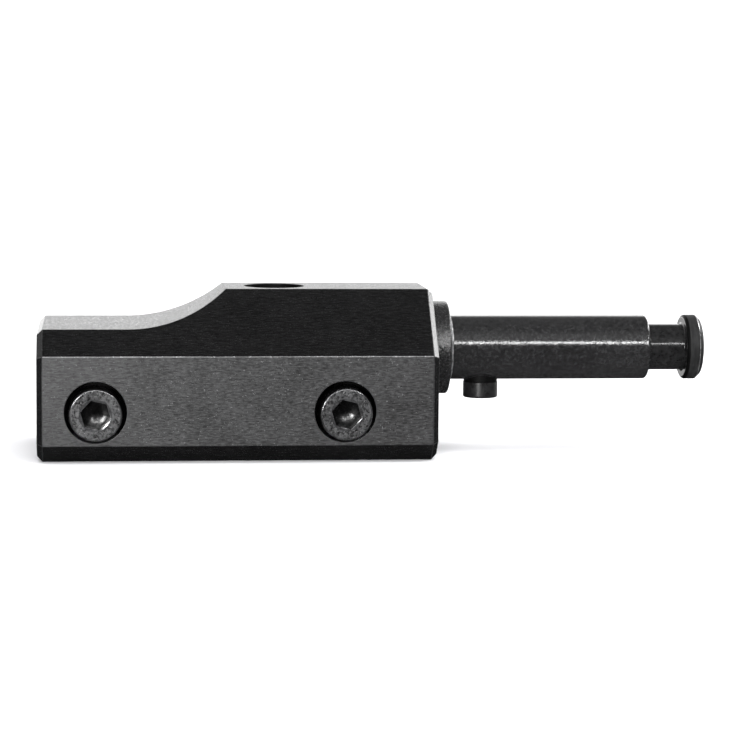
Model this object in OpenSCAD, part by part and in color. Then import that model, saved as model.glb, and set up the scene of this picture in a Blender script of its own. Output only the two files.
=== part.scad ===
// Clamp block with a quick-change spigot.
//
// A steel block hooks over a dovetail rail from above. Two cap screws pull a rear jaw
// against the rail. A turned spigot with a collar, a neck and a button head stands out
// of the right-hand end, and a locating pin under it keys the tool that slides on.
//
// Frame: X runs along the block towards the spigot, Y runs from the screw heads to the
// jaw, Z is up. The origin is the middle of the left-hand end, on the bottom plane.
// All sizes are in millimetres.

/* [Block] */
// Length of the block, without the spigot
block_l = 74.5; // [62:0.5:90]
// Width of the block, front face to rear face
block_w = 39; // [37:0.5:47]
// Height at which the vertical sides turn into the sloped faces
side_h = 19.8; // [19:0.1:22]
// Height of the low deck at the left-hand end
low_deck_h = 24.45; // [24:0.05:26]
// Height of the high deck above the spigot
high_deck_h = 31.45; // [30.5:0.05:36]
// Length of the high deck, from the top of the ramp to the spigot end
high_deck_l = 39.3; // [36:0.1:44]
// Radius of the concave ramp between the two decks
ramp_r = 27.5; // [20:0.5:34]
// Size of the 45 degree bevels along the two bottom edges
foot_bevel = 3.25; // [1.5:0.05:3.6]
// Size of the 45 degree bevels round both end faces
end_bevel = 1.05; // [0.5:0.05:1.4]

/* [Rail channel] */
// Widest part of the dovetail rail that the block grips
rail_w = 21.2; // [19:0.1:22]
// Height of the channel roof above the bottom plane
roof_h = 5; // [4.6:0.05:5.2]
// Depth of the rail's upper bevel, from its top face to its widest point
rail_shoulder = 2.7; // [2.3:0.05:3]
// Height of the blunt lip under each hook
hook_lip = 0.3; // [0.2:0.05:0.5]

/* [Jaw] */
// Steel left above the spring pockets, up to the jaw's top face
jaw_cover = 1.1; // [0.8:0.05:1.8]
// Gap between the jaw and the web of the block when the jaw grips a rail
jaw_gap = 0.4; // [0.3:0.05:0.6]
// Thickness of web left between the rail's widest point and the jaw
web_margin = 0.7; // [0.5:0.05:1.2]

/* [Clamp screws] */
// Distance of the left screw from the left-hand end
left_inset = 10.8; // [9.5:0.1:12]
// Distance of the right screw from the right-hand end
right_inset = 17.25; // [16:0.05:18]
// Height of the screw axes above the channel roof
screw_rise = 3.85; // [3.8:0.05:4]
// How far the counterbores are centred above the screw axes
counterbore_lift = 0.62; // [0:0.01:0.65]
// How much closer together the two counterbores are than the two screws
counterbore_shift = 0.3; // [0:0.01:0.4]
// Play between a counterbore and the nearest side of the screw head in it
counterbore_play = 0.04; // [0.03:0.01:0.3]
// Depth of the screw heads below the front face
head_recess = 0.7; // [0.3:0.1:1.2]
// Nominal diameter of the clamp and lock screws
screw_d = 6; // [5:0.1:7.2]
// Diameter of the screw heads
screw_head_d = 10; // [9:0.1:12]
// Height of the screw heads
screw_head_h = 6; // [5.5:0.1:6.2]
// Width across the flats of the hexagon sockets
socket_af = 5; // [4:0.5:5.5]
// Thickness of the split lock washers
washer_t = 1.6; // [1.2:0.1:1.8]
// How far the screw tips end inside the jaw's rear face
tip_inset = 2.2; // [1.5:0.1:3]

/* [Jaw guides] */
// Diameter of the two guide pins
guide_d = 4; // [3:0.1:4.8]
// Height of the guide pin axes above the screw axes
guide_rise = 1.35; // [1:0.05:1.8]
// Distance of each guide pin from its screw, along X
guide_step = 10.6; // [10:0.1:11]
// Play between a spring and its pocket, and between a spring and its guide pin
spring_play = 0.3; // [0.2:0.05:0.5]
// Diameter of the spring wire
wire_d = 0.6; // [0.4:0.05:0.65]
// Number of turns in each spring
spring_turns = 6; // [4:1:7]

/* [Cross key] */
// Width of the key, along the rail
key_w = 5.1; // [4.8:0.1:5.4]
// Length of the key, across the rail
key_l = 14.8; // [12:0.1:15.2]
// How far the key stands below the channel roof
key_drop = 2.6; // [2:0.1:2.8]
// How deep the key sits in the roof
key_seat = 2; // [1.5:0.1:2.4]
// Distance of each key screw from the middle of the key
key_screw_step = 4.5; // [4:0.1:5]

/* [Spigot] */
// Height of the spigot axis
spigot_h = 19.6; // [19.4:0.1:20.4]
// Diameter of the locating shaft
shaft_d = 12.4; // [10.5:0.1:14]
// Length of the locating shaft, from the collar to the neck
shaft_l = 39; // [30:0.5:50]
// Diameter of the collar
collar_d = 17.9; // [15:0.1:20]
// Thickness of the collar
collar_t = 3.7; // [3:0.1:6]
// Diameter of the neck behind the button head
neck_d = 8.9; // [6:0.1:9.4]
// Length of the neck
neck_l = 7.2; // [5:0.1:9]
// Diameter of the button head
button_d = 12.5; // [10.5:0.1:14]
// Thickness of the button head
button_t = 3.35; // [2.5:0.05:5]
// Diameter of the tail inside the block
tail_d = 10; // [9.6:0.1:10.4]
// Length of the tail inside the block
tail_l = 36.5; // [36:0.1:38]

/* [Locating pin] */
// Diameter of the locating pin
locating_d = 6.7; // [5:0.1:7]
// Distance of the locating pin from the collar face
locating_x = 6.75; // [5.5:0.05:12]
// How far the pin stands below the shaft
locating_drop = 3.5; // [2:0.1:6]

/* [Lock screw] */
// Distance of the lock screw from the spigot end of the block
lock_inset = 29.7; // [29.5:0.1:30.5]
// Height of the tail's flat above the spigot axis
flat_rise = 3; // [2.6:0.1:3.4]
// Steel left between the lock screw's tip and the level of the key seat
lock_skin = 0.6; // [0.5:0.1:3]

/* [Hidden] */
$fn = 96;

// Play between pieces that are pressed or screwed together
seat_play = 0.02;
// Play between pieces that slide or turn on each other
run_play = 0.05;
// How far cutting bodies run past the faces they cut
over = 1;
// Longer than any piece, for half spaces and through cuts
far = 2 * (block_l + block_w);
// Length of the split gap in a lock washer
washer_gap = 0.9;
// Edge break on turned and ground pieces
edge = 0.35;
// Angle of the hexagon sockets about the screw axes
socket_turn = 9;

// Block
front_y = -block_w / 2;
rear_y = block_w / 2;
ramp_rise = high_deck_h - low_deck_h;
ramp_run = sqrt(ramp_r * ramp_r - pow(ramp_r - ramp_rise, 2));
ramp_x = block_l - high_deck_l - ramp_run;
deck_half_w = rear_y - (high_deck_h - side_h);

// Heights that follow from the channel roof
screw_h = roof_h + screw_rise;
guide_h = screw_h + guide_rise;
spring_r = guide_d / 2 + spring_play / 2 + wire_d / 2;
spring_pocket_d = 2 * spring_r + wire_d + 2 * spring_play;
jaw_h = guide_h + spring_pocket_d / 2 + jaw_cover;

// Rail channel: half widths at the widest point, the roof and the hook lip
rail_half = rail_w / 2;
rail_mid_h = roof_h - rail_shoulder;
roof_half = rail_half - rail_shoulder;
mouth_half = rail_half - (rail_mid_h - hook_lip);

// Jaw space behind the web
web_y = rail_half + web_margin;
jaw_y = web_y + jaw_gap;
shelf_h = jaw_h + jaw_gap;

// Screw axes and seats
left_x = left_inset;
right_x = block_l - right_inset;
bore_h = screw_h + counterbore_lift;
counterbore_offset = norm([counterbore_lift, counterbore_shift]);
counterbore_d = screw_head_d + 2 * counterbore_offset + 2 * counterbore_play;
head_seat_y = front_y + head_recess + screw_head_h;
counterbore_floor_y = head_seat_y + washer_t;
clearance_d = screw_d + 2 * counterbore_offset + 2 * run_play;
screw_l = rear_y - tip_inset - head_seat_y;
washer_d = screw_head_d - 0.1;

// Guide pins and springs
guide_left_x = left_x + guide_step;
guide_right_x = right_x + guide_step;
spring_pocket_depth = 6;
jaw_pocket_depth = 1.5;
guide_skin = 1.9;
guide_tip_play = 0.4;
guide_seat = 8;
guide_y = web_y - spring_pocket_depth - guide_seat;
guide_tip_y = rear_y - guide_skin - guide_tip_play;
spring_start_y = web_y - spring_pocket_depth;
spring_end_y = jaw_y + jaw_pocket_depth;
wire_sides = 6;
steps_per_turn = 18;

// Cross key and its screws
key_x = (left_x + right_x) / 2;
key_low = roof_h - key_drop;
key_screw_d = 2;
key_head_d = 3.8;
key_head_h = 2;
key_head_sink = 0.2;
key_thread = 3;

// Spigot
collar_x = block_l + collar_t;
neck_x = collar_x + shaft_l;
button_x = neck_x + neck_l;
tip_x = button_x + button_t;
tail_x = block_l - tail_l;
shaft_break = 0.55;
button_break = 0.85;
button_back_break = 0.25;
locating_seat = 2;

// Lock screw
lock_x = block_l - lock_inset;
flat_h = spigot_h + flat_rise;
flat_end = lock_x + counterbore_d / 2 + 0.5;
lock_pilot = 0.4;
lock_l = flat_h - roof_h - key_seat - lock_skin;
floor_play = 0.1;

// Outline of the block across its width, clockwise seen from the spigot end, for a deck at height h
function outline(h) = [
    [front_y + foot_bevel, 0],
    [front_y, foot_bevel],
    [front_y, side_h],
    [front_y + h - side_h, h],
    [rear_y - h + side_h, h],
    [rear_y, side_h],
    [rear_y, foot_bevel],
    [rear_y - foot_bevel, 0]
];

// Extrudes a Y-Z outline along X
module along_x(length) {
    rotate([90, 0, 90])
        linear_extrude(height = length)
            children();
}

// Turns a drawing along +Z so that it runs along +Y
module along_y() {
    rotate([-90, 0, 0])
        children();
}

// Turns a drawing along +Z so that it runs along +X
module along_x_axis() {
    rotate([0, 90, 0])
        children();
}

// Half space that bevels the edge p to q of an end face; side is -1 on the left, 1 on the right
module edge_cut(p, q, side) {
    turn = atan2(q[1] - p[1], q[0] - p[0]);
    end_x = side < 0 ? 0 : block_l;
    translate([end_x, p[0], p[1]])
        rotate([turn, 0, 0])
            translate([0, 0, -end_bevel])
                rotate([0, 45 * side, 0])
                    translate([-far / 2, -far / 2, 0])
                        cube(far);
}

// All the bevels round one end face, whose deck is at height h
module end_cuts(h, side) {
    points = outline(h);
    for (i = [0 : len(points) - 1])
        edge_cut(points[i], points[(i + 1) % len(points)], side);
}

// Outer shape of the block and its jaw together: decks, ramp, slopes and bevels
module envelope() {
    difference() {
        along_x(block_l)
            polygon(outline(high_deck_h));
        translate([-over, -far / 2, low_deck_h])
            cube([ramp_x + over, far, far]);
        translate([ramp_x, -far / 2, low_deck_h + ramp_r])
            along_y()
                cylinder(h = far, r = ramp_r, $fn = 256);
        end_cuts(low_deck_h, -1);
        end_cuts(high_deck_h, 1);
    }
}

// Section of the rail channel and of the space behind the web that the jaw fills
module under_cut() {
    polygon([
        [-mouth_half, -over],
        [-mouth_half, hook_lip],
        [-rail_half, rail_mid_h],
        [-roof_half, roof_h],
        [web_y, roof_h],
        [web_y, shelf_h],
        [far, shelf_h],
        [far, -over]
    ]);
}

// Section of the jaw: a bar with a hook that reaches under the rail
module jaw_section() {
    polygon([
        [mouth_half, -over],
        [mouth_half, hook_lip],
        [jaw_y, rail_mid_h + jaw_y - rail_half],
        [jaw_y, jaw_h],
        [rear_y - edge, jaw_h],
        [rear_y, jaw_h - edge],
        [far, jaw_h - edge],
        [far, -over]
    ]);
}

// Round hole along Y from y to y_end
module hole_y(x, z, d, y, y_end) {
    translate([x, y, z])
        along_y()
            cylinder(h = y_end - y, d = d);
}

// Counterbore and clearance hole of one clamp screw
module clamp_screw_bore(x) {
    hole_y(x, bore_h, counterbore_d, front_y - over, counterbore_floor_y);
    hole_y(x, bore_h, clearance_d, counterbore_floor_y - over, web_y + over);
}

// Pocket and pressed seat of one guide pin in the block
module guide_bore(x) {
    hole_y(x, guide_h, spring_pocket_d, spring_start_y, web_y + over);
    hole_y(x, guide_h, guide_d + seat_play, guide_y, web_y);
}

// Counterbore, clearance and thread of the lock screw, from the high deck down
module lock_bore() {
    translate([lock_x, 0, flat_h - floor_play])
        cylinder(h = far, d = counterbore_d);
    translate([lock_x, 0, flat_h - lock_l - lock_pilot])
        cylinder(h = far / 2, d = screw_d + seat_play);
}

// Seat of the cross key in the channel roof, with its two threads
module key_seat_cut() {
    translate([key_x - key_w / 2 - seat_play, -key_l / 2 - seat_play, roof_h - over])
        cube([key_w + 2 * seat_play, key_l + 2 * seat_play, key_seat + over]);
    for (side = [-1, 1])
        translate([key_x, side * key_screw_step, roof_h])
            cylinder(h = key_seat + key_thread, d = key_screw_d + seat_play);
}

module clamp_block() {
    color([0.24, 0.24, 0.25])
        difference() {
            envelope();
            translate([-over, 0, 0])
                along_x(block_l + 2 * over)
                    under_cut();
            clamp_screw_bore(left_x);
            clamp_screw_bore(right_x - counterbore_shift);
            guide_bore(guide_left_x);
            guide_bore(guide_right_x);
            key_seat_cut();
            lock_bore();
            translate([tail_x - lock_pilot, 0, spigot_h])
                along_x_axis()
                    cylinder(h = tail_l + over + lock_pilot, d = tail_d + 2 * seat_play);
        }
}

module clamp_jaw() {
    color([0.22, 0.22, 0.23])
        difference() {
            intersection() {
                envelope();
                translate([-over, 0, 0])
                    along_x(block_l + 2 * over)
                        jaw_section();
            }
            for (x = [left_x, right_x])
                hole_y(x, screw_h, screw_d + 2 * run_play, jaw_y - over, rear_y + over);
            for (x = [guide_left_x, guide_right_x]) {
                hole_y(x, guide_h, guide_d + 2 * run_play, jaw_y - over, rear_y - guide_skin);
                hole_y(x, guide_h, spring_pocket_d, jaw_y - over, spring_end_y);
            }
        }
}

// Socket head cap screw along +Z, with the top of its head at the origin
module cap_screw(d, head_d, head_h, length, af, turn) {
    bevel = head_d * 0.045;
    socket_depth = head_h / 2;
    difference() {
        union() {
            cylinder(h = bevel, d1 = head_d - 2 * bevel, d2 = head_d);
            translate([0, 0, bevel])
                cylinder(h = head_h - bevel, d = head_d);
            cylinder(h = head_h + length - bevel, d = d);
            translate([0, 0, head_h + length - bevel])
                cylinder(h = bevel, d1 = d, d2 = d - 2 * bevel);
        }
        rotate([0, 0, turn])
            translate([0, 0, -over])
                cylinder(h = socket_depth + over, d = af / cos(30), $fn = 6);
        translate([0, 0, socket_depth - 0.01])
            cylinder(h = af / 4, d1 = af * 0.98, d2 = 0);
    }
}

module clamp_screw(x) {
    color([0.2, 0.2, 0.21])
        translate([x, front_y + head_recess, screw_h])
            along_y()
                cap_screw(screw_d, screw_head_d, screw_head_h, screw_l, socket_af, socket_turn);
}

// Split ring under a screw head, with its gap at the top
module lock_washer(x) {
    color([0.28, 0.28, 0.29])
        translate([x, head_seat_y, screw_h])
            difference() {
                along_y()
                    cylinder(h = washer_t, d = washer_d);
                translate([0, -over, 0])
                    along_y()
                        cylinder(h = washer_t + 2 * over, d = screw_d + 0.3);
                translate([-washer_gap / 2, -over, 0])
                    cube([washer_gap, washer_t + 2 * over, washer_d]);
            }
}

module guide_pin(x) {
    tip = edge;
    color([0.55, 0.55, 0.56])
        translate([x, guide_y, guide_h])
            along_y() {
                cylinder(h = tip, d1 = guide_d - 2 * tip, d2 = guide_d);
                translate([0, 0, tip])
                    cylinder(h = guide_tip_y - guide_y - 2 * tip, d = guide_d);
                translate([0, 0, guide_tip_y - guide_y - tip])
                    cylinder(h = tip, d1 = guide_d, d2 = guide_d - 2 * tip);
            }
}

// Wire of a compression spring: rings of points along a helix, joined into one tube
module jaw_spring(x) {
    rings = spring_turns * steps_per_turn;
    rise = spring_end_y - spring_start_y - wire_d - 2 * seat_play;
    function centre(i) = [
        spring_r * cos(360 * i / steps_per_turn),
        wire_d / 2 + seat_play + rise * i / rings,
        spring_r * sin(360 * i / steps_per_turn)
    ];
    function ring_point(i, j) =
        let (a = 360 * i / steps_per_turn, b = 360 * j / wire_sides, w = wire_d / 2)
        centre(i) + [w * cos(b) * cos(a), w * sin(b), w * cos(b) * sin(a)];
    points = [for (i = [0 : rings]) for (j = [0 : wire_sides - 1]) ring_point(i, j)];
    walls = [
        for (i = [0 : rings - 1])
            for (j = [0 : wire_sides - 1])
                let (a = i * wire_sides + j, b = i * wire_sides + (j + 1) % wire_sides)
                [a, b, b + wire_sides, a + wire_sides]
    ];
    start_cap = [[for (j = [wire_sides - 1 : -1 : 0]) j]];
    end_cap = [[for (j = [0 : wire_sides - 1]) rings * wire_sides + j]];
    color([0.6, 0.6, 0.62])
        translate([x, spring_start_y, guide_h])
            polyhedron(points = points, faces = concat(start_cap, walls, end_cap));
}

module cross_key() {
    color([0.3, 0.3, 0.31])
        difference() {
            translate([key_x - key_w / 2, -key_l / 2, key_low])
                cube([key_w, key_l, key_drop + key_seat - seat_play]);
            for (side = [-1, 1])
                translate([key_x, side * key_screw_step, key_low - over]) {
                    cylinder(h = far, d = key_screw_d + 0.2);
                    cylinder(h = over + key_head_h + key_head_sink, d = key_head_d + 0.2);
                }
        }
}

// Small cap screw, head down, that holds the key in the roof
module key_screw(y) {
    length = key_drop + key_seat - key_head_h - key_head_sink + key_thread - lock_pilot;
    color([0.2, 0.2, 0.21])
        translate([key_x, y, key_low + key_head_sink])
            cap_screw(key_screw_d, key_head_d, key_head_h, length, key_screw_d * 0.75, 0);
}

// Turned profile of the spigot, radius against distance along the axis from the tail
module spigot_profile() {
    tail_r = tail_d / 2;
    collar_r = collar_d / 2;
    shaft_r = shaft_d / 2;
    neck_r = neck_d / 2;
    button_r = button_d / 2;
    polygon([
        [0, tail_x],
        [tail_r - edge, tail_x],
        [tail_r, tail_x + edge],
        [tail_r, block_l],
        [collar_r, block_l],
        [collar_r, collar_x - edge],
        [collar_r - edge, collar_x],
        [shaft_r, collar_x],
        [shaft_r, neck_x - shaft_break],
        [shaft_r - shaft_break, neck_x],
        [neck_r, neck_x],
        [neck_r, button_x],
        [button_r - button_back_break, button_x],
        [button_r, button_x + button_back_break],
        [button_r, tip_x - button_break],
        [button_r - button_break, tip_x],
        [0, tip_x]
    ]);
}

module spigot() {
    color([0.19, 0.19, 0.2])
        difference() {
            translate([0, 0, spigot_h])
                along_x_axis()
                    rotate_extrude()
                        spigot_profile();
            translate([tail_x - over, -tail_d, flat_h])
                cube([flat_end - tail_x + over, 2 * tail_d, tail_d]);
            translate([lock_x, 0, spigot_h - tail_d])
                cylinder(h = 2 * tail_d, d = screw_d + 0.4);
            translate([collar_x + locating_x, 0, spigot_h - shaft_d])
                cylinder(h = shaft_d + locating_seat, d = locating_d + seat_play);
        }
}

module locating_pin() {
    bottom_h = spigot_h - shaft_d / 2 - locating_drop;
    color([0.16, 0.16, 0.17])
        translate([collar_x + locating_x, 0, bottom_h]) {
            cylinder(h = edge, d1 = locating_d - 2 * edge, d2 = locating_d);
            translate([0, 0, edge])
                cylinder(h = spigot_h + locating_seat - bottom_h - edge, d = locating_d);
        }
}

// Cap screw that goes down through the tail's flat into the block
module spigot_lock_screw() {
    color([0.2, 0.2, 0.21])
        translate([lock_x, 0, flat_h + screw_head_h])
            rotate([180, 0, 0])
                cap_screw(screw_d, screw_head_d, screw_head_h, lock_l, socket_af, socket_turn);
}

clamp_block();
clamp_jaw();
clamp_screw(left_x);  // clamp_screw_left
clamp_screw(right_x);  // clamp_screw_right
lock_washer(left_x);  // lock_washer_left
lock_washer(right_x);  // lock_washer_right
guide_pin(guide_left_x);  // guide_pin_left
guide_pin(guide_right_x);  // guide_pin_right
jaw_spring(guide_left_x);  // jaw_spring_left
jaw_spring(guide_right_x);  // jaw_spring_right
cross_key();
key_screw(-key_screw_step);  // key_screw_front
key_screw(key_screw_step);  // key_screw_rear
spigot();
locating_pin();
spigot_lock_screw();
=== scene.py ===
"""Looks of a rail clamp block with a quick-change spigot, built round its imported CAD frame.

The block, jaw, screws and spigot are modelled in millimetres at their place in the frame, scaled to
metres when they are finished, and each replaces the CAD node that it stands for.
"""

import logging
import math
from dataclasses import dataclass, field
from enum import Enum
from typing import Callable, Sequence

import bpy
from mathutils import Matrix, Vector


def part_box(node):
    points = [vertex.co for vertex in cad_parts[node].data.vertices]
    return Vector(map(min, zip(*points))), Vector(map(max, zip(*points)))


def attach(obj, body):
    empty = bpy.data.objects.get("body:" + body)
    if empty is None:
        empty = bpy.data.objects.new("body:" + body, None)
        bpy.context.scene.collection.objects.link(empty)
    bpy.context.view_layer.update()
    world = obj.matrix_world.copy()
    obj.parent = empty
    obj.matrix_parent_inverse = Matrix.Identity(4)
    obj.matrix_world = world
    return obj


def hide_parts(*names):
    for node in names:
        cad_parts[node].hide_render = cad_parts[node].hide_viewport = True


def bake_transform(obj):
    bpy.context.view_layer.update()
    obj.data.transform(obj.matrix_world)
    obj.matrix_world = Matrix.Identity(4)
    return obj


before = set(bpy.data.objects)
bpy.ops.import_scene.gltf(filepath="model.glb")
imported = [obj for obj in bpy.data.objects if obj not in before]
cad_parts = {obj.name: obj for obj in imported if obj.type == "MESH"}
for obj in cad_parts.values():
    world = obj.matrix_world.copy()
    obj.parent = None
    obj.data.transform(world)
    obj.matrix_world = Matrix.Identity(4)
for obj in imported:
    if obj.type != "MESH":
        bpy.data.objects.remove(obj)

LOG = logging.getLogger("clamp_block")
MM = 0.001
M6_PITCH = 1.0

Point = tuple[float, float, float]
Pair = tuple[float, float]


class Axis(Enum):
    """Direction along which a rod or a prism is drawn."""

    X = "x"
    Y = "y"
    Z = "z"

    @property
    def unit(self) -> Vector:
        """Unit vector of the axis."""
        return {Axis.X: Vector((1, 0, 0)), Axis.Y: Vector((0, 1, 0)), Axis.Z: Vector((0, 0, 1))}[self]

    @property
    def turn(self) -> Point:
        """Euler angles that turn +Z onto the axis."""
        quarter = math.pi / 2
        return {Axis.X: (0, quarter, 0), Axis.Y: (-quarter, 0, 0), Axis.Z: (0, 0, 0)}[self]


def node_box(node: str) -> tuple[Vector, Vector]:
    """Box of a CAD node at rest, in millimetres.

    Args:
        node: Name of the CAD node.

    Returns:
        The lowest and the highest corner.
    """
    low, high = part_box(node)
    return low / MM, high / MM


def centre_xz(node: str) -> Pair:
    """Middle of a CAD node along X and Z, in millimetres."""
    low, high = node_box(node)
    return (low.x + high.x) / 2, (low.z + high.z) / 2


def thread(start: float, end: float, crest: float, root: float, pitch: float) -> list[Pair]:
    """Zigzag profile of a thread.

    Args:
        start: Place where the thread starts along the axis.
        end: Place where it ends.
        crest: Radius at the crests, where it starts and ends.
        root: Radius at the roots.
        pitch: Distance between crests.

    Returns:
        Distance along the axis and radius of each corner.
    """
    crest_flat, root_flat = 0.06, 0.05
    corners: list[Pair] = []
    for turn in range(int((end - start) / pitch)):
        at = start + turn * pitch
        corners += [(at + crest_flat * pitch, crest), (at + (0.5 - root_flat) * pitch, root),
                    (at + (0.5 + root_flat) * pitch, root), (at + (1 - crest_flat) * pitch, crest)]
    return corners


def arc(centre: Pair, radius: float, start: float, end: float, steps: int = 6) -> list[Pair]:
    """Points along a circular arc in a plane.

    Args:
        centre: Centre of the arc.
        radius: Radius of the arc.
        start: Angle of the first point, in degrees.
        end: Angle of the last point, in degrees.
        steps: Number of chords.

    Returns:
        The points, first and last included.
    """
    angles = [math.radians(start + (end - start) * i / steps) for i in range(steps + 1)]
    return [(centre[0] + radius * math.cos(a), centre[1] + radius * math.sin(a)) for a in angles]


def grey(value: float) -> Point:
    """Colour of a grey."""
    return (value, value, value * 1.02)


class Bench:
    """The workbench: makes raw pieces in millimetres and shapes them with Blender's own operators."""

    @staticmethod
    def clear() -> None:
        """Leave edit mode and deselect everything."""
        if bpy.context.object and bpy.context.object.mode != "OBJECT":
            bpy.ops.object.mode_set(mode="OBJECT")
        bpy.ops.object.select_all(action="DESELECT")

    @staticmethod
    def pick(piece: bpy.types.Object) -> None:
        """Make one piece the only selected and active one."""
        Bench.clear()
        piece.select_set(True)
        bpy.context.view_layer.objects.active = piece

    @staticmethod
    def edit(piece: bpy.types.Object, mode: str = "FACE") -> None:
        """Enter edit mode on one piece with nothing selected, in a select mode: VERT, EDGE or FACE."""
        Bench.pick(piece)
        bpy.ops.object.mode_set(mode="EDIT")
        bpy.ops.mesh.select_mode(type=mode)
        bpy.ops.mesh.select_all(action="DESELECT")

    @staticmethod
    def done() -> None:
        """Go back to object mode."""
        bpy.ops.object.mode_set(mode="OBJECT")

    @staticmethod
    def named(name: str) -> bpy.types.Object:
        """Name the new primitive and put its place and turn into its mesh."""
        piece = bpy.context.object
        piece.name = name
        piece.data.name = name
        bpy.ops.object.transform_apply(location=True, rotation=True, scale=True)
        return piece

    @staticmethod
    def box(name: str, low: Point, high: Point) -> bpy.types.Object:
        """Box between two corners."""
        Bench.clear()
        low_v, high_v = Vector(low), Vector(high)
        bpy.ops.mesh.primitive_cube_add(size=1, location=(low_v + high_v) / 2, scale=high_v - low_v)
        return Bench.named(name)

    @staticmethod
    def rod(name: str, start: Point, axis: Axis, length: float, radius: float, sides: int = 96,
            roll: float = 0.0, tip: float | None = None) -> bpy.types.Object:
        """Cylinder, cone or polygon prism that starts at a point and runs along an axis.

        Args:
            name: Name of the piece.
            start: Centre of its first end.
            axis: Direction that it runs in.
            length: Length along the axis, negative to run backwards.
            radius: Radius at the first end, to the corners of a polygon.
            sides: Number of sides.
            roll: Turn about its own axis, in degrees.
            tip: Radius at the far end, the same as the first where it isn't given.

        Returns:
            The new piece.
        """
        Bench.clear()
        middle = Vector(start) + axis.unit * (length / 2)
        far = radius if tip is None else tip
        near_r, far_r = (radius, far) if length > 0 else (far, radius)
        bpy.ops.mesh.primitive_cone_add(vertices=sides, radius1=near_r, radius2=far_r,
                                        depth=abs(length), end_fill_type="NGON")
        piece = bpy.context.object
        piece.rotation_euler = (0, 0, math.radians(roll))
        bpy.ops.object.transform_apply(location=False, rotation=True, scale=False)
        piece.rotation_euler = axis.turn
        piece.location = middle
        return Bench.named(name)

    @staticmethod
    def wire(name: str, points: Sequence[Point], closed: bool) -> bpy.types.Object:
        """Line of edges through points, drawn by extruding one vertex.

        Args:
            name: Name of the piece.
            points: The points in order.
            closed: Whether the last point joins the first.

        Returns:
            The new piece, left in object mode.
        """
        Bench.clear()
        bpy.ops.mesh.primitive_plane_add(size=1)
        piece = bpy.context.object
        bpy.ops.object.mode_set(mode="EDIT")
        bpy.ops.mesh.select_mode(type="VERT")
        bpy.ops.mesh.select_all(action="SELECT")
        bpy.ops.mesh.merge(type="CENTER")
        bpy.ops.transform.translate(value=points[0])
        for here, there in zip(points, points[1:]):
            step = Vector(there) - Vector(here)
            bpy.ops.mesh.extrude_region_move(TRANSFORM_OT_translate={"value": step})
        if closed:
            bpy.ops.mesh.select_all(action="SELECT")
            bpy.ops.mesh.edge_face_add()
        Bench.done()
        return Bench.named(name)

    @staticmethod
    def prism(name: str, points: Sequence[Point], push: Vector) -> bpy.types.Object:
        """Solid made by pushing a flat outline along a vector."""
        piece = Bench.wire(name, points, closed=True)
        Bench.edit(piece)
        bpy.ops.mesh.select_all(action="SELECT")
        bpy.ops.mesh.extrude_region_move(TRANSFORM_OT_translate={"value": push})
        bpy.ops.mesh.select_all(action="SELECT")
        bpy.ops.mesh.normals_make_consistent(inside=False)
        Bench.done()
        return piece

    @staticmethod
    def turned(name: str, profile: Sequence[Pair], centre: Point, axis: Axis,
               steps: int = 128) -> bpy.types.Object:
        """Solid turned on a lathe.

        Args:
            name: Name of the piece.
            profile: Distance along the axis and radius of each corner, from the axis to the axis.
            centre: Point on the axis that the distances start from.
            axis: Axis of the lathe.
            steps: Number of facets round the piece.

        Returns:
            The new closed piece.
        """
        side = Axis.Z.unit if axis is not Axis.Z else Axis.X.unit
        points = [tuple(Vector(centre) + axis.unit * a + side * r) for a, r in profile]
        piece = Bench.wire(name, points, closed=False)
        Bench.edit(piece, "VERT")
        bpy.ops.mesh.select_all(action="SELECT")
        bpy.ops.mesh.spin(steps=steps, angle=2 * math.pi, center=centre, axis=axis.unit)
        bpy.ops.mesh.select_all(action="SELECT")
        bpy.ops.mesh.remove_doubles(threshold=0.0005)
        bpy.ops.mesh.normals_make_consistent(inside=False)
        Bench.done()
        return piece

    @staticmethod
    def modifier(piece: bpy.types.Object, kind: str, **values: object) -> None:
        """Add a modifier, set its values and apply it."""
        Bench.pick(piece)
        added = piece.modifiers.new(kind.title(), kind)
        for key, value in values.items():
            setattr(added, key, value)
        bpy.ops.object.modifier_apply(modifier=added.name)

    @staticmethod
    def combine(piece: bpy.types.Object, tool: bpy.types.Object, operation: str) -> None:
        """Cut, join or intersect a piece with a tool piece, which is used up."""
        Bench.modifier(piece, "BOOLEAN", operation=operation, object=tool, solver="EXACT")
        used = tool.data
        bpy.data.objects.remove(tool)
        bpy.data.meshes.remove(used)

    @staticmethod
    def cut(piece: bpy.types.Object, *tools: bpy.types.Object) -> None:
        """Cut a piece with each tool piece in turn."""
        for tool in tools:
            Bench.combine(piece, tool, "DIFFERENCE")

    @staticmethod
    def slice_off(piece: bpy.types.Object, at: Point, outward: Point) -> None:
        """Cut away what lies beyond a plane and close the cut.

        Args:
            piece: The piece to cut.
            at: A point on the plane.
            outward: Direction that points at what is cut away.
        """
        Bench.edit(piece)
        bpy.ops.mesh.select_all(action="SELECT")
        bpy.ops.mesh.bisect(plane_co=at, plane_no=outward, use_fill=True, clear_outer=True)
        Bench.done()

    @staticmethod
    def tidy(piece: bpy.types.Object, flat_angle: float = 0.4) -> None:
        """Merge doubles, join coplanar faces and point every face outwards."""
        Bench.edit(piece)
        bpy.ops.mesh.select_all(action="SELECT")
        bpy.ops.mesh.remove_doubles(threshold=0.002)
        bpy.ops.mesh.dissolve_limited(angle_limit=math.radians(flat_angle))
        bpy.ops.mesh.select_all(action="SELECT")
        bpy.ops.mesh.normals_make_consistent(inside=False)
        Bench.done()

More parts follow.
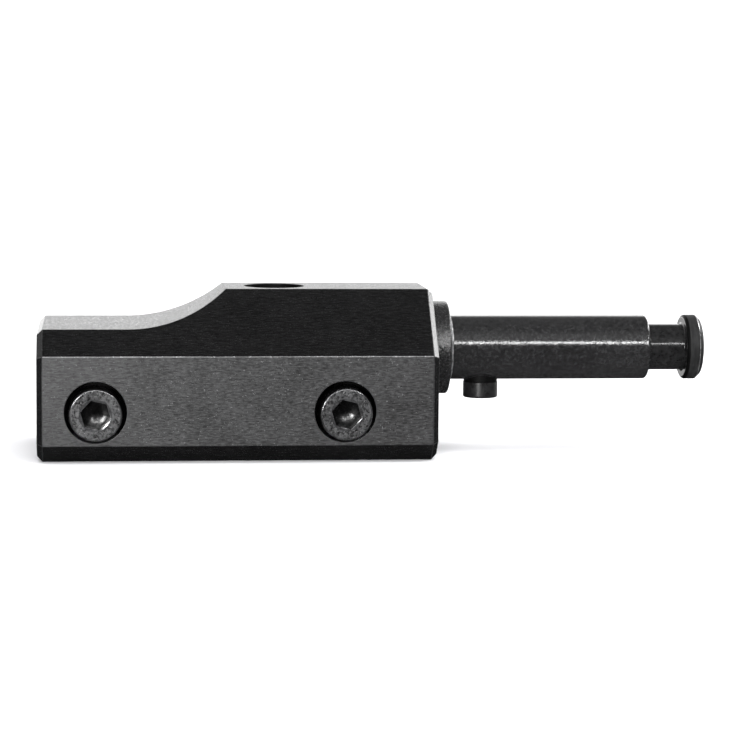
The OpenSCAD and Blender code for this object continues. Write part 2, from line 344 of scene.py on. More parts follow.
    @staticmethod
    def break_edges(piece: bpy.types.Object, width: float, slot: int = -1, segments: int = 2,
                    angle: float = 20.0) -> None:
        """Round over every sharp edge a little.

        Args:
            piece: The piece.
            width: Width of the edge break.
            slot: Index of the material slot that the edge takes, or -1 for its neighbours'.
            segments: Number of facets across the edge.
            angle: Least angle between two faces that counts as an edge, in degrees.
        """
        Bench.modifier(piece, "BEVEL", width=width, segments=segments, limit_method="ANGLE",
                       angle_limit=math.radians(angle), material=slot, use_clamp_overlap=False,
                       miter_outer="MITER_SHARP", loop_slide=True)

    @staticmethod
    def smooth(piece: bpy.types.Object, angle: float = 32.0) -> None:
        """Shade round faces smooth, and keep flat faces flat up to their edge breaks."""
        Bench.pick(piece)
        bpy.ops.object.shade_smooth_by_angle(angle=math.radians(angle))
        Bench.modifier(piece, "WEIGHTED_NORMAL", mode="FACE_AREA", weight=60, keep_sharp=True)

    @staticmethod
    def paint(piece: bpy.types.Object, slot: int, wanted: Callable[[Vector, Vector], bool]) -> None:
        """Give a material slot to the faces whose centre and normal pass a test."""
        Bench.edit(piece)
        Bench.done()
        for face in piece.data.polygons:
            face.select = wanted(face.center, face.normal)
        bpy.ops.object.mode_set(mode="EDIT")
        piece.active_material_index = slot
        bpy.ops.object.material_slot_assign()
        Bench.done()

    @staticmethod
    def deliver(piece: bpy.types.Object, body: str, node: str, slot: str) -> None:
        """Scale a finished piece to metres and put it in the place of its CAD node.

        Args:
            piece: The finished piece, in millimetres.
            body: Body that it moves with.
            node: CAD node that it stands for.
            slot: Not used.
        """
        Bench.pick(piece)
        piece.scale = (MM, MM, MM)
        bpy.ops.object.transform_apply(location=False, rotation=False, scale=True)
        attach(piece, body)
        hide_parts(node)
        LOG.info("%s: %d faces, rides on %s", piece.name, len(piece.data.polygons), body)


class Graph:
    """A material's node tree, with short calls for the nodes that the finishes use."""

    def __init__(self, name: str) -> None:
        """Start an empty material with its shader, output and object coordinates."""
        self.material = bpy.data.materials.new(name)
        self.material.use_nodes = True
        self.tree = self.material.node_tree
        self.tree.nodes.clear()
        self.shader = self.tree.nodes.new("ShaderNodeBsdfPrincipled")
        output = self.tree.nodes.new("ShaderNodeOutputMaterial")
        self.tree.links.new(self.shader.outputs["BSDF"], output.inputs["Surface"])
        self.place = self.tree.nodes.new("ShaderNodeTexCoord").outputs["Object"]

    def link(self, source: bpy.types.NodeSocket, target: bpy.types.NodeSocket) -> None:
        """Join an output to an input."""
        self.tree.links.new(source, target)

    def stretched(self, scale: Point) -> bpy.types.NodeSocket:
        """Object coordinates scaled along each axis."""
        mapping = self.tree.nodes.new("ShaderNodeMapping")
        mapping.inputs["Scale"].default_value = scale
        self.link(self.place, mapping.inputs["Vector"])
        return mapping.outputs["Vector"]

    def noise(self, vector: bpy.types.NodeSocket, scale: float, detail: float = 3.0,
              roughness: float = 0.6) -> bpy.types.NodeSocket:
        """Noise value at a vector."""
        node = self.tree.nodes.new("ShaderNodeTexNoise")
        node.inputs["Scale"].default_value = scale
        node.inputs["Detail"].default_value = detail
        node.inputs["Roughness"].default_value = roughness
        self.link(vector, node.inputs["Vector"])
        return node.outputs["Fac"]

    def ranged(self, value: bpy.types.NodeSocket, span: Pair, result: Pair) -> bpy.types.NodeSocket:
        """Value moved from one span to another, and held at its ends."""
        node = self.tree.nodes.new("ShaderNodeMapRange")
        node.inputs["From Min"].default_value, node.inputs["From Max"].default_value = span
        node.inputs["To Min"].default_value, node.inputs["To Max"].default_value = result
        self.link(value, node.inputs["Value"])
        return node.outputs["Result"]

    def sum(self, first: bpy.types.NodeSocket, second: bpy.types.NodeSocket) -> bpy.types.NodeSocket:
        """Sum of two values."""
        node = self.tree.nodes.new("ShaderNodeMath")
        node.operation = "ADD"
        self.link(first, node.inputs[0])
        self.link(second, node.inputs[1])
        return node.outputs["Value"]

    def mix(self, factor: bpy.types.NodeSocket, colour: bpy.types.NodeSocket | Point,
            other: Point) -> bpy.types.NodeSocket:
        """Colour, fixed or from a socket, moved towards another colour by a factor."""
        node = self.tree.nodes.new("ShaderNodeMix")
        node.data_type = "RGBA"
        self.link(factor, node.inputs["Factor"])
        if isinstance(colour, tuple):
            node.inputs["A"].default_value = (*colour, 1.0)
        else:
            self.link(colour, node.inputs["A"])
        node.inputs["B"].default_value = (*other, 1.0)
        return node.outputs["Result"]

    def paint_pale(self, scale: float) -> None:
        """Give the shader a pale base colour, clouded at a scale."""
        tone = self.ranged(self.noise(self.place, scale), (0.3, 0.7), (0.0, 1.0))
        self.link(self.mix(tone, grey(0.9), grey(0.92)), self.shader.inputs["Base Color"])

    def bump(self, height: bpy.types.NodeSocket, depth: float) -> None:
        """Bump the surface by a height value; depth is in metres."""
        node = self.tree.nodes.new("ShaderNodeBump")
        node.inputs["Strength"].default_value = 1.0
        node.inputs["Distance"].default_value = depth
        self.link(height, node.inputs["Height"])
        self.link(node.outputs["Normal"], self.shader.inputs["Normal"])


@dataclass(frozen=True)
class SteelFinish:
    """A blackened or bright steel: grain lines, blotches, bright flecks, dark pits and a fine relief.

    Attributes:
        name: Name of the material.
        dark: Grey in the hollows of the grain.
        light: Grey on its crests.
        fleck: Grey of the small bright flecks.
        fleck_edge: Noise value above which a fleck shows, lower for more flecks.
        metal: How metallic the surface is.
        roughness: Lowest and highest roughness.
        grain: Fineness of the grain along X, Y and Z, in lines a metre.
        relief: Height of the grain, in metres.
        specular: Strength of the shader's dielectric reflection.
        fleck_size: Number of flecks a metre.
        pit_depth: How much a dark pit takes off the grey, from 0 to 1.
    """

    name: str
    dark: float
    light: float
    fleck: float = 0.2
    fleck_edge: float = 0.64
    metal: float = 0.0
    roughness: Pair = (0.3, 0.42)
    grain: Point = (700.0, 3600.0, 3600.0)
    relief: float = 6e-6
    specular: float = 0.35
    fleck_size: float = 3200.0
    pit_depth: float = 0.5

    def material(self) -> bpy.types.Material:
        """Build the finish.

        Returns:
            The new material.
        """
        graph = Graph(self.name)
        lines = graph.noise(graph.stretched(self.grain), 1.0, detail=3.0, roughness=0.6)
        blotch = graph.ranged(graph.noise(graph.place, 110.0, detail=4.0), (0.0, 1.0), (0.3, 0.7))
        speck = graph.noise(graph.place, self.fleck_size, detail=2.0, roughness=0.7)
        pits = graph.noise(graph.place, self.fleck_size * 0.61, detail=2.0, roughness=0.7)
        tone = graph.ranged(graph.sum(lines, blotch), (0.84, 1.16), (0.0, 1.0))
        base = graph.mix(tone, grey(self.dark), grey(self.light))
        pit = graph.ranged(pits, (0.30, 0.42), (self.pit_depth, 0.0))
        pitted = graph.mix(pit, base, grey(self.dark * 0.3))
        fleck = graph.ranged(speck, (self.fleck_edge, self.fleck_edge + 0.05), (0.0, 1.0))
        graph.link(graph.mix(fleck, pitted, grey(self.fleck)), graph.shader.inputs["Base Color"])
        graph.link(graph.ranged(graph.sum(lines, speck), (0.8, 1.2), self.roughness),
                   graph.shader.inputs["Roughness"])
        graph.bump(graph.sum(lines, speck), self.relief)
        graph.shader.inputs["Metallic"].default_value = self.metal
        graph.shader.inputs["Specular IOR Level"].default_value = self.specular
        return graph.material


GROUND_BLACK = SteelFinish("ground_black_steel", 0.007, 0.04, fleck=0.12, fleck_edge=0.67,
                           roughness=(0.29, 0.43), relief=2.6e-5, grain=(800.0, 4200.0, 4200.0),
                           pit_depth=0.8)
# Milled steel for the slopes and bevels, much darker than the ground faces: partly a milled finish,
# partly painted shade where these faces fall dark.
MILLED_SHADE_BLACK = SteelFinish("milled_shade_black_steel", 0.004, 0.008, fleck=0.014, fleck_edge=0.7,
                           roughness=(0.18, 0.28), specular=0.15, relief=3e-6)
DECK_BLACK = SteelFinish("scraped_black_steel", 0.014, 0.035, fleck=0.2, fleck_edge=0.62,
                         roughness=(0.26, 0.4), relief=6e-5, specular=0.2,
                         grain=(1900.0, 420.0, 1900.0))
EDGE_BLACK = SteelFinish("edge_black_steel", 0.008, 0.02, fleck=0.06, roughness=(0.3, 0.45))
# Bright, partly metallic edge steel: worn edge and painted highlight line on the long edges between the
# sides and the slopes.
WORN_EDGE_HIGHLIGHT = SteelFinish("worn_edge_highlight_steel", 0.06, 0.2, fleck=0.35, fleck_edge=0.6, metal=0.4,
                          roughness=(0.3, 0.5), grain=(160.0, 900.0, 900.0), pit_depth=0.6)
# Bright metal for the fillet at the shaft's root and a thin facet on the button's end bevel: a painted
# highlight crescent and line.
ROOT_HIGHLIGHT_STEEL = SteelFinish("painted_highlight_root_steel", 0.06, 0.3, fleck=0.5, fleck_edge=0.6, metal=0.6,
                         roughness=(0.22, 0.4), grain=(700.0, 700.0, 700.0), relief=2e-5)
# Near-black and nearly matt: painted shade for the counterbores, the deck bore, the back of the spigot's
# button and the top of the locating pin.
BORE_SHADE_BLACK = SteelFinish("painted_shade_black_steel", 0.0015, 0.003, fleck=0.008, roughness=(0.4, 0.55),
                         grain=(3000.0, 3000.0, 3000.0), specular=0.06)
SCREW_BLACK = SteelFinish("black_screw_steel", 0.008, 0.065, fleck=0.2, fleck_edge=0.66, metal=0.35,
                          roughness=(0.2, 0.42), grain=(1500.0, 1500.0, 1500.0), relief=6e-5,
                          fleck_size=2600.0, pit_depth=0.95)
SHANK_BLACK = SteelFinish("screw_shank_steel", 0.004, 0.012, fleck=0.05, roughness=(0.14, 0.26),
                          grain=(900.0, 900.0, 900.0), specular=0.4, relief=4e-6)
# Near-black socket steel, far darker than the head: painted shade inside the hexagon socket.
SOCKET_SHADE_BLACK = SteelFinish("painted_shade_socket_steel", 0.0015, 0.004, fleck=0.01, roughness=(0.16, 0.26),
                           grain=(900.0, 900.0, 900.0), specular=0.3, relief=3e-6)
# Glossy metal, lighter than the head: polished steel that catches the lamps, brightened as a painted
# highlight on the countersink and the first facets of the head's rim.
POLISHED_RIM_HIGHLIGHT = SteelFinish("polished_rim_highlight_steel", 0.05, 0.12, fleck=0.3, metal=0.7,
                           roughness=(0.12, 0.2), grain=(900.0, 900.0, 900.0), relief=6e-6)
TURNED_BLACK = SteelFinish("turned_black_steel", 0.009, 0.02, fleck=0.08, fleck_edge=0.74,
                           roughness=(0.08, 0.18), grain=(1500.0, 1500.0, 1500.0), relief=1.5e-5,
                           specular=0.6, pit_depth=0.6)
COLLAR_BLACK = SteelFinish("blasted_black_steel", 0.008, 0.022, fleck=0.2, fleck_edge=0.7,
                           roughness=(0.16, 0.3), grain=(2400.0, 2400.0, 2400.0), relief=6.5e-5,
                           specular=0.7)
NECK_BLACK = SteelFinish("polished_black_steel", 0.006, 0.014, fleck=0.04, fleck_edge=0.74,
                         roughness=(0.1, 0.2), grain=(1100.0, 900.0, 900.0), relief=9e-6,
                         specular=0.25)
PIN_BLACK = SteelFinish("pin_black_steel", 0.006, 0.014, fleck=0.06, fleck_edge=0.74,
                        roughness=(0.26, 0.36), grain=(900.0, 900.0, 900.0), relief=8e-6,
                        specular=0.4)
RIM_BLACK = SteelFinish("button_rim_steel", 0.009, 0.02, fleck=0.08, fleck_edge=0.7,
                        roughness=(0.42, 0.55), grain=(2600.0, 420.0, 420.0), specular=0.12)
GROUND_BRIGHT = SteelFinish("ground_dowel_steel", 0.38, 0.55, fleck=0.7, metal=1.0,
                            roughness=(0.2, 0.3), grain=(200.0, 4000.0, 200.0))
SPRING_WIRE = SteelFinish("spring_wire_steel", 0.3, 0.5, fleck=0.7, metal=1.0,
                          roughness=(0.25, 0.36), grain=(900.0, 900.0, 900.0))
PHOSPHATED = SteelFinish("phosphated_steel", 0.03, 0.07, metal=0.4, roughness=(0.45, 0.6),
                         grain=(2600.0, 2600.0, 2600.0))


@dataclass
class Finishes:
    """The materials in use, each built once.

    Attributes:
        made: Materials already built, by name.
    """

    made: dict[str, bpy.types.Material] = field(default_factory=dict)

    def dress(self, piece: bpy.types.Object, *finishes: SteelFinish) -> None:
        """Give a piece its finishes, one material slot each, in order.

        Args:
            piece: The piece.
            *finishes: Its finishes.
        """
        piece.data.materials.clear()
        for finish in finishes:
            if finish.name not in self.made:
                self.made[finish.name] = finish.material()
            piece.data.materials.append(self.made[finish.name])


@dataclass
class BlockShape:
    """Outer shape that the block and its jaw share: decks, ramp, slopes and bevels, in millimetres.

    Attributes:
        side_h: Height at which the sides turn into the slopes.
        low_deck_h: Height of the low deck.
        high_deck_l: Length of the high deck.
        ramp_r: Radius of the ramp between the decks.
        foot_bevel: Size of the bevels along the bottom edges.
        end_bevel: Size of the bevels round the end faces.
        ramp_steps: Number of facets along the ramp.
    """

    side_h: float = 19.8
    low_deck_h: float = 24.45
    high_deck_l: float = 39.3
    ramp_r: float = 27.5
    foot_bevel: float = 3.25
    end_bevel: float = 1.05
    ramp_steps: int = 28

    def __post_init__(self) -> None:
        """Read the overall sizes from the CAD frame."""
        low, high = node_box("clamp_block")
        self.length = high.x
        self.front_y = low.y
        self.rear_y = -low.y
        self.high_deck_h = high.z

    @property
    def ramp_angle(self) -> float:
        """Angle that the ramp's arc turns through, in degrees."""
        rise = self.high_deck_h - self.low_deck_h
        return math.degrees(math.acos(1 - rise / self.ramp_r))

    @property
    def ramp_x(self) -> float:
        """Place where the ramp leaves the low deck."""
        return self.length - self.high_deck_l - self.ramp_r * math.sin(math.radians(self.ramp_angle))

    def outline(self, deck_h: float) -> list[Pair]:
        """Section across the block, clockwise seen from the spigot end, for one deck height."""
        slope = deck_h - self.side_h
        foot = self.foot_bevel
        return [(self.front_y + foot, 0), (self.front_y, foot), (self.front_y, self.side_h),
                (self.front_y + slope, deck_h), (self.rear_y - slope, deck_h),
                (self.rear_y, self.side_h), (self.rear_y, foot), (self.rear_y - foot, 0)]

    def raw(self, name: str) -> bpy.types.Object:
        """Solid with the decks, the ramp and all the bevels.

        Args:
            name: Name of the piece.

        Returns:
            The new piece.
        """
        centre = (self.ramp_x, self.low_deck_h + self.ramp_r)
        ramp = arc(centre, self.ramp_r, -90, -90 + self.ramp_angle, self.ramp_steps)
        side = [(0, 0), (0, self.low_deck_h), *ramp, (self.length, self.high_deck_h), (self.length, 0)]
        piece = Bench.prism(name, [(x, self.front_y, z) for x, z in side],
                            Vector((0, self.rear_y - self.front_y, 0)))
        for way in (-1, 1):
            Bench.slice_off(piece, (0, way * self.rear_y, self.side_h), (0, way, 1))
            Bench.slice_off(piece, (0, way * self.rear_y, self.foot_bevel), (0, way, -1))
        for deck_h, end_x, way in ((self.low_deck_h, 0, -1), (self.high_deck_h, self.length, 1)):
            self.bevel_end(piece, self.outline(deck_h), end_x, way)
        return piece

    def bevel_end(self, piece: bpy.types.Object, outline: list[Pair], end_x: float, way: int) -> None:
        """Bevel every edge round one end face.

        Args:
            piece: The piece.
            outline: Section at that end.
            end_x: Place of the end face.
            way: Which way the end faces along X, -1 or 1.
        """
        for (y1, z1), (y2, z2) in zip(outline, outline[1:] + outline[:1]):
            size = math.hypot(y2 - y1, z2 - z1)
            out_y, out_z = -(z2 - z1) / size, (y2 - y1) / size
            at = (end_x, y1 - out_y * self.end_bevel, z1 - out_z * self.end_bevel)
            Bench.slice_off(piece, at, (way, out_y, out_z))


@dataclass
class RailChannel:
    """Sizes of the channel under the block and of the jaw that closes it, in millimetres.

    Attributes:
        rail_half: Half the width of the rail.
        roof_h: Height of the channel's roof.
        shoulder: Depth of the rail's upper bevel.
        lip: Height of the blunt lip under each hook.
        web_margin: Web between the rail and the jaw.
        jaw_gap: Gap between the web and the jaw.
    """

    rail_half: float = 10.6
    roof_h: float = 5.0
    shoulder: float = 2.7
    lip: float = 0.3
    web_margin: float = 0.7
    jaw_gap: float = 0.4

    def __post_init__(self) -> None:
        """Work out the places that follow."""
        self.mid_h = self.roof_h - self.shoulder
        self.roof_half = self.rail_half - self.shoulder
        self.mouth_half = self.rail_half - (self.mid_h - self.lip)
        self.web_y = self.rail_half + self.web_margin
        self.jaw_y = self.web_y + self.jaw_gap
        self.jaw_h = node_box("clamp_jaw")[1].z
        self.shelf_h = self.jaw_h + self.jaw_gap

    def cutter(self, x_low: float, x_high: float, far: float) -> bpy.types.Object:
        """Solid that cuts the channel and the space behind the web."""
        section = [(-self.mouth_half, -1), (-self.mouth_half, self.lip), (-self.rail_half, self.mid_h),
                   (-self.roof_half, self.roof_h), (self.web_y, self.roof_h),
                   (self.web_y, self.shelf_h), (far, self.shelf_h), (far, -1)]
        return Bench.prism("channel_cutter", [(x_low, y, z) for y, z in section],
                           Vector((x_high - x_low, 0, 0)))

    def jaw_blank(self, x_low: float, x_high: float, far: float) -> bpy.types.Object:
        """Solid that holds the jaw's section, with its hook."""
        section = [(self.mouth_half, -1), (self.mouth_half, self.lip),
                   (self.jaw_y, self.mid_h + self.jaw_y - self.rail_half), (self.jaw_y, self.jaw_h),
                   (far, self.jaw_h), (far, -1)]
        return Bench.prism("jaw_blank", [(x_low, y, z) for y, z in section],
                           Vector((x_high - x_low, 0, 0)))


@dataclass
class ClampBody:
    """The clamp block and its jaw, in millimetres.

    Attributes:
        finishes: The materials.
        shape: Outer shape.
        channel: Rail channel.
        counterbore_r: Radius of the three counterbores.
        counterbore_lift: How far the front counterbores stand above their screws.
        counterbore_shift: How far the right counterbore stands left of its screw.
        clearance_r: Radius of the bores round the screws' shanks.
        guide_r: Radius of the guide pins.
        guide_play: Play round the guide pins in the jaw.
        pocket_r: Radius of the pockets that hold the springs.
        pocket_depth: Depth of a pocket in the block.
        jaw_pocket: Depth of a pocket in the jaw.
        jaw_skin: Steel left behind the guide bores at the jaw's rear.
        tapped_r: Radius of the jaw's thread at its crests.
        tapped_depth: Depth of the jaw's thread below its crests.
        tapped_l: Length of thread that shows from behind.
        mouth: Countersink of the tapped bores, along the bore.
        flat_h: Height of the flat on the spigot's tail, where the deck's counterbore ends.
        edge: Width of the edge breaks.
        flat_turn: Part of a normal along an axis above which a face is flat to that axis.
    """

    finishes: Finishes
    shape: BlockShape = field(default_factory=BlockShape)
    channel: RailChannel = field(default_factory=RailChannel)
    counterbore_r: float = 5.73
    counterbore_lift: float = 0.62
    counterbore_shift: float = 0.3
    clearance_r: float = 3.74
    guide_r: float = 2.0
    guide_play: float = 0.05
    pocket_r: float = 3.05
    pocket_depth: float = 6.0
    jaw_pocket: float = 1.5
    jaw_skin: float = 1.9
    tapped_r: float = 3.05
    tapped_depth: float = 0.35
    tapped_l: float = 3.4
    mouth: float = 0.3
    flat_h: float = 22.6
    edge: float = 0.12
    flat_turn: float = 0.999

    def bore(self, x: float, z: float, radius: float, y: float, y_end: float) -> bpy.types.Object:
        """Cutter for a round hole along Y."""
        return Bench.rod("bore", (x, y, z), Axis.Y, y_end - y, radius)

    def build_block(self) -> bpy.types.Object:
        """Model the block with its channel, counterbores, pockets and bores.

        Returns:
            The finished block.
        """
        shape, channel = self.shape, self.channel
        block = shape.raw("clamp_block_steel")
        Bench.cut(block, channel.cutter(-1, shape.length + 1, 2 * shape.rear_y))
        for node, shift in (("clamp_screw_left", 0.0), ("clamp_screw_right", self.counterbore_shift)):
            low, high = node_box(node)
            seat_y = node_box(node.replace("clamp_screw", "lock_washer"))[1].y
            x = (low.x + high.x) / 2 - shift
            z = (low.z + high.z) / 2 + self.counterbore_lift
            Bench.cut(block, self.bore(x, z, self.counterbore_r, shape.front_y - 1, seat_y),
                      self.bore(x, z, self.clearance_r, seat_y - 1, channel.web_y + 1))
        for node in ("guide_pin_left", "guide_pin_right"):
            x, z = centre_xz(node)
            Bench.cut(block, self.bore(x, z, self.pocket_r, channel.web_y - self.pocket_depth,
                                       channel.web_y + 1))
        lock_x = centre_xz("spigot_lock_screw")[0]
        Bench.cut(block, Bench.rod("deck_bore", (lock_x, 0, self.flat_h), Axis.Z, shape.high_deck_h,
                                   self.counterbore_r))
        key_low, key_high = node_box("cross_key")
        Bench.cut(block, Bench.box("key_seat", (key_low.x, key_low.y, channel.roof_h - 1), key_high))
        Bench.tidy(block)
        self.finishes.dress(block, GROUND_BLACK, EDGE_BLACK, MILLED_SHADE_BLACK, BORE_SHADE_BLACK, DECK_BLACK,
                            WORN_EDGE_HIGHLIGHT)
        self.paint(block)
        Bench.break_edges(block, self.edge, slot=1)
        # Painted highlight along the long edges between the sides and the slopes.
        self.paint_edge_highlights(block)
        Bench.smooth(block)
        Bench.deliver(block, "block", "clamp_block", "block")
        return block

    def paint(self, piece: bpy.types.Object) -> None:
        """Give the slopes and bevels a milled finish kept dark as painted shade, the decks a scraped
        finish, and the bores a near-black painted shade.
        """
        flat = self.flat_turn
        # Slopes and bevels: milled finish, darkened as painted shade.
        Bench.paint(piece, 2, lambda at, way: abs(way.y) < flat and abs(way.x) < flat)
        reach = self.counterbore_r + 1.2
        places = [centre_xz(node) for node in ("clamp_screw_left", "clamp_screw_right")]

        def in_bore(at: Vector, way: Vector) -> bool:
            """Whether a face lies inside one of the front counterbores."""
            inside = at.y > self.shape.front_y + 0.05
            return inside and any(math.hypot(at.x - x, at.z - z) < reach for x, z in places)

        # Front counterbores: near-black painted shade.
        Bench.paint(piece, 3, in_bore)
        Bench.paint(piece, 4, lambda at, way: way.z > 0.72)
        lock_x = centre_xz("spigot_lock_screw")[0]
        # Bore in the high deck for the lock screw: near-black painted shade.
        Bench.paint(piece, 3, lambda at, way: self.flat_h - 0.1 < at.z < self.shape.high_deck_h - 0.1
                    and math.hypot(at.x - lock_x, at.y) < self.counterbore_r + 0.05)

    def paint_edge_highlights(self, piece: bpy.types.Object) -> None:
        """Give the long edges between the sides and the slopes a bright worn-edge finish, which is also
        a painted highlight line along them.
        """
        shape = self.shape
        near = 3 * self.edge
        Bench.paint(piece, 5, lambda at, way: abs(at.z - shape.side_h) < near and
                    abs(abs(at.y) - shape.rear_y) < near and abs(way.x) < 0.2 and
                    0.02 < way.z < 0.69 and 0.72 < abs(way.y) < 0.9999)

    def build_jaw(self) -> bpy.types.Object:
        """Model the rear jaw.

        Returns:
            The finished jaw.
        """
        shape, channel = self.shape, self.channel
        jaw = shape.raw("clamp_jaw_steel")
        Bench.combine(jaw, channel.jaw_blank(-1, shape.length + 1, 2 * shape.rear_y), "INTERSECT")
        for node in ("clamp_screw_left", "clamp_screw_right"):
            x, z = centre_xz(node)
            mouth_r = self.tapped_r + 0.8
            tap = [(channel.jaw_y - 1, 0), (channel.jaw_y - 1, self.tapped_r),
                   *thread(shape.rear_y - self.tapped_l, shape.rear_y - self.mouth, self.tapped_r,
                           self.tapped_r + self.tapped_depth, M6_PITCH),
                   (shape.rear_y + 0.5, mouth_r), (shape.rear_y + 0.5, 0)]
            Bench.cut(jaw, Bench.turned("tap", tap, (x, 0, z), Axis.Y, steps=64))
        for node in ("guide_pin_left", "guide_pin_right"):
            x, z = centre_xz(node)
            Bench.cut(jaw, self.bore(x, z, self.guide_r + self.guide_play, channel.jaw_y - 1,
                                     shape.rear_y - self.jaw_skin),
                      self.bore(x, z, self.pocket_r, channel.jaw_y - 1, channel.jaw_y + self.jaw_pocket))
        Bench.tidy(jaw)
        self.finishes.dress(jaw, GROUND_BLACK, EDGE_BLACK, MILLED_SHADE_BLACK)
        flat = self.flat_turn
        # Slopes and bevels of the jaw: milled finish, darkened as painted shade.
        Bench.paint(jaw, 2, lambda at, way: abs(way.y) < flat and abs(way.x) < flat)
        Bench.break_edges(jaw, self.edge, slot=1)
        Bench.smooth(jaw)
        Bench.deliver(jaw, "jaw", "clamp_jaw", "jaw")
        return jaw


@dataclass
class CapScrew:
    """M6 socket head cap screw, in millimetres, modelled along its axis from the top of its head.

    Attributes:
        node: CAD node that it stands for.
        body: Body that it rides on.
        start: Middle of the head's top face.
        axis: Axis of the screw.
        way: Which way the shank points along the axis, 1 or -1.
        length: Length under the head.
        thread_l: Length of the thread.
        turn: Turn of the socket, in degrees.
        thread_r: Nominal radius of the thread.
        thread_depth: Depth of the thread.
        head_r: Radius of the head.
        head_h: Height of the head.
        edge: Radius of the rounding round the head's top, and size of the bevel at the tip.
        socket_af: Width across the flats of the socket.
        socket_depth: Depth of the socket's flats.
        sink: Depth of the countersink round the socket.
        sink_rim: How far the countersink reaches past the socket's corners.
    """

    node: str
    body: str
    start: Point
    axis: Axis
    way: int
    length: float
    thread_l: float
    turn: float
    thread_r: float = 3.0
    thread_depth: float = 0.55
    head_r: float = 5.0
    head_h: float = 6.0
    edge: float = 0.45
    socket_af: float = 5.0
    socket_depth: float = 3.0
    sink: float = 0.135
    sink_rim: float = 0.17

    @classmethod
    def at_node(cls, node: str, body: str, axis: Axis, way: int, thread_l: float,
                turn: float) -> "CapScrew":
        """Screw that fills the box of its CAD node.

        Args:
            node: CAD node that it stands for.
            body: Body that it rides on.
            axis: Axis of the screw.
            way: Which way the shank points along the axis, 1 or -1.
            thread_l: Length of the thread.
            turn: Turn of the socket, in degrees.

        Returns:
            The screw, ready to build.
        """
        low, high = node_box(node)
        reach = (high - low).dot(axis.unit)
        start = (low + high) / 2 - axis.unit * (way * reach / 2)
        return cls(node, body, tuple(start), axis, way, reach - cls.head_h, thread_l, turn)

    @property
    def corner_r(self) -> float:
        """Radius to the corners of the socket."""
        return self.socket_af / 2 / math.cos(math.radians(30))

    def profile(self) -> list[Pair]:
        """Distance below the head's top and radius of each corner, from the top to the tip."""
        soft, fillet = 0.1, 0.2
        end = self.head_h + self.length
        plain = self.head_h + max(0.0, self.length - self.thread_l)
        return [(0, 0), *arc((self.edge, self.head_r - self.edge), self.edge, 180, 90, 5),
                (self.head_h - soft, self.head_r), (self.head_h, self.head_r - 1.5 * soft),
                (self.head_h, self.thread_r + fillet), (self.head_h + fillet, self.thread_r),
                *thread(plain, end - self.edge, self.thread_r, self.thread_r - self.thread_depth,
                        M6_PITCH),
                (end - self.edge, self.thread_r - soft), (end, self.thread_r - self.edge - soft),
                (end, 0)]

    def turned(self, name: str, profile: Sequence[Pair]) -> bpy.types.Object:
        """Solid turned about the screw's axis, with distances below the head's top."""
        return Bench.turned(name, [(a * self.way, r) for a, r in profile], self.start, self.axis,
                            steps=96)

    def cut_socket(self, screw: bpy.types.Object) -> None:
        """Cut the hexagon socket, with the cone that its drill left and its countersink."""
        along = self.axis.unit * self.way
        over = 1.0
        mouth = Vector(self.start) - along * over
        floor = Vector(self.start) + along * (self.socket_depth - 0.01)
        hexagon = Bench.rod("hexagon", mouth, self.axis, (self.socket_depth + over) * self.way,
                            self.corner_r, sides=6, roll=self.turn)
        drill = Bench.rod("drill", floor, self.axis, self.socket_af / 4 * self.way,
                          self.socket_af / 2 * 0.99, sides=48, tip=0.02)
        rim_r = self.corner_r + self.sink_rim
        flare = self.turned("flare", [(-0.3, 0), (-0.3, rim_r), (0, rim_r),
                                      (self.sink, self.socket_af / 2 - 0.05), (self.sink, 0)])
        Bench.cut(screw, hexagon, drill, flare)

    def paint(self, screw: bpy.types.Object) -> None:
        """Give the socket, the countersink, the head's rounding and the rest their finishes: the socket
        near-black as painted shade, and the countersink and the rounding's first facets a polished metal
        brightened as a painted highlight.
        """
        shoulder_r = self.head_r - self.edge

        def place(at: Vector) -> Pair:
            """How deep below the head's top a point lies, and how far from the axis."""
            gone = at - Vector(self.start)
            along = gone.dot(self.axis.unit)
            return along * self.way, (gone - self.axis.unit * along).length

        def in_socket(at: Vector, way: Vector) -> bool:
            """Whether a face lies inside the socket."""
            below, across = place(at)
            return 1.02 * self.sink < below < self.head_h and across < self.corner_r + 0.02

        def on_sink(at: Vector, way: Vector) -> bool:
            """Whether a face lies on the countersink round the socket."""
            below, across = place(at)
            return (0.02 * self.sink < below < 0.98 * self.sink
                    and across < self.corner_r + self.sink_rim)

        def below_top(at: Vector, way: Vector) -> bool:
            """Whether a face lies on the head's rounding, on its side or on the shank."""
            below, across = place(at)
            return below > self.head_h or (below > 0.01 and across > shoulder_r)

        def on_rim(at: Vector, way: Vector) -> bool:
            """Whether a face lies on the first facets of the head's rounding."""
            below, across = place(at)
            return 0.005 < below < 0.2 * self.edge and across > shoulder_r

        # Slot 1 is the socket's near-black painted shade; slot 2 is the polished rim steel, brightened
        # as a painted highlight.
        for slot, wanted in ((1, in_socket), (2, on_sink), (3, below_top), (2, on_rim)):
            Bench.paint(screw, slot, wanted)

    def build(self, finishes: Finishes) -> bpy.types.Object:
        """Model the screw.

        Args:
            finishes: The materials.

        Returns:
            The finished screw.
        """
        screw = self.turned(self.node + "_steel", self.profile())
        self.cut_socket(screw)
        finishes.dress(screw, SCREW_BLACK, SOCKET_SHADE_BLACK, POLISHED_RIM_HIGHLIGHT, SHANK_BLACK)
        self.paint(screw)
        Bench.smooth(screw, 30)
        Bench.deliver(screw, self.body, self.node, "screws")
        return screw


